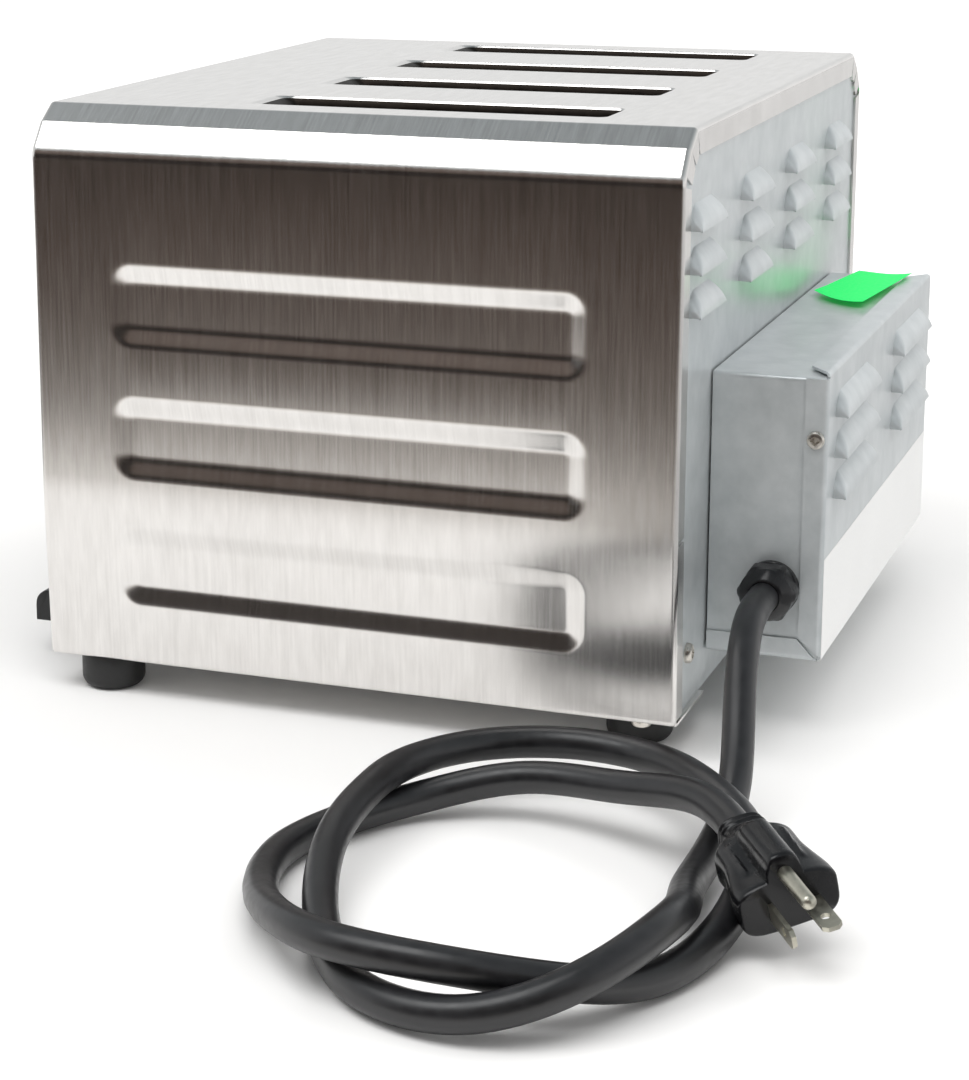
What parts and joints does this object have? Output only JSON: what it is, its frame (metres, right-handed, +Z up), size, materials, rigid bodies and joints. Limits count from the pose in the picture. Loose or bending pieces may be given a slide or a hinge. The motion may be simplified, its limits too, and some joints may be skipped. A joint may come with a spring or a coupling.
{
  "type": "commercial pop-up toaster",
  "caption": "Commercial pop-up toaster: a bent steel wrap with bread slots over two sprung lifts, browning knobs, a crumb tray, a louvred electrical box behind and a mains lead with its plug.",
  "frame": {"origin": "on the standing surface under the middle of the toaster, without its lead", "axes": "+X to the right seen from the front, +Y to the rear, +Z up"},
  "size_m": [0.5557, 0.3744, 0.231],
  "materials": {
    "brushed_stainless": "brushed upright grain",
    "galvanised_sheet": "satin with a faint spangle",
    "inner_steel": "plain",
    "guard_wire": "heat stained wire",
    "screw_steel": "plated",
    "mica": "matt flake",
    "heater_ribbon": "oxidised",
    "coil": "enamelled winding",
    "circuit_board": "solder mask",
    "brass_pins": "polished",
    "terminal_plastic": "moulded",
    "black_plastic": "fine moulded texture",
    "gloss_black": "moulded, glossy",
    "cord_rubber": "matt jacket",
    "foot_rubber": "moulded rubber"
  },
  "bodies": {
    "chassis": {"outer_wrap": "brushed_stainless", "front_panel": "brushed_stainless", "rear_panel": "galvanised_sheet", "base_pan": "galvanised_sheet", "front_bulkhead": "inner_steel", "rear_bulkhead": "inner_steel", "side_shields": "inner_steel", "mechanism_shelf": "inner_steel", "heater_cards": "mica", "heater_ribbons": "heater_ribbon", "bread_guards": "guard_wire", "guide_rods": "screw_steel", "rod_brackets": "inner_steel", "right_lift_spring": "screw_steel", "left_lift_spring": "screw_steel", "latch_magnets": "coil", "control_board": "circuit_board", "board_standoffs": "brass_pins", "browning_pots": "screw_steel", "box_body": "galvanised_sheet", "box_cover": "galvanised_sheet", "terminal_block": "terminal_plastic", "power_board": "circuit_board", "board_spacers": "terminal_plastic", "cord_gland": "gloss_black", "gland_locknut": "gloss_black", "power_cord": "cord_rubber", "plug_body": "gloss_black", "plug_blades": "brass_pins", "plug_ground_pin": "brass_pins", "feet": "foot_rubber", "foot_screws": "screw_steel", "bottom_screws": "screw_steel", "panel_screws": "screw_steel", "cover_screws": "screw_steel"},
    "right_lift": {"right_carriage": "inner_steel", "right_bread_racks": "guard_wire", "right_lever_knob": "black_plastic", "right_armature": "inner_steel"},
    "left_lift": {"left_carriage": "inner_steel", "left_bread_racks": "guard_wire", "left_lever_knob": "black_plastic", "left_armature": "inner_steel"},
    "right_dial": {"right_browning_knob": "black_plastic"},
    "left_dial": {"left_browning_knob": "black_plastic"},
    "tray": {"crumb_tray": "galvanised_sheet", "tray_pull": "black_plastic"}
  },
  "joints": [
    {"name": "right_lift_slide", "type": "slide", "parent": "chassis", "child": "right_lift", "axis": [0, 0, 1], "range_m": [-0.058, 0], "stiffness_N_per_m": 80, "springref_m": 0.05, "deforming": ["right_lift_spring"]},
    {"name": "left_lift_slide", "type": "slide", "parent": "chassis", "child": "left_lift", "axis": [0, 0, 1], "range_m": [-0.058, 0], "stiffness_N_per_m": 80, "springref_m": 0.05, "deforming": ["left_lift_spring"]},
    {"name": "right_dial_turn", "type": "hinge", "parent": "chassis", "child": "right_dial", "pos_m": [0.038, -0.147, 0.062], "axis": [0, -1, 0], "range_deg": [0, 270]},
    {"name": "left_dial_turn", "type": "hinge", "parent": "chassis", "child": "left_dial", "pos_m": [-0.038, -0.147, 0.062], "axis": [0, -1, 0], "range_deg": [0, 270]},
    {"name": "tray_slide", "type": "slide", "parent": "chassis", "child": "tray", "axis": [0, -1, 0], "range_m": [0, 0.18]}
  ]
}
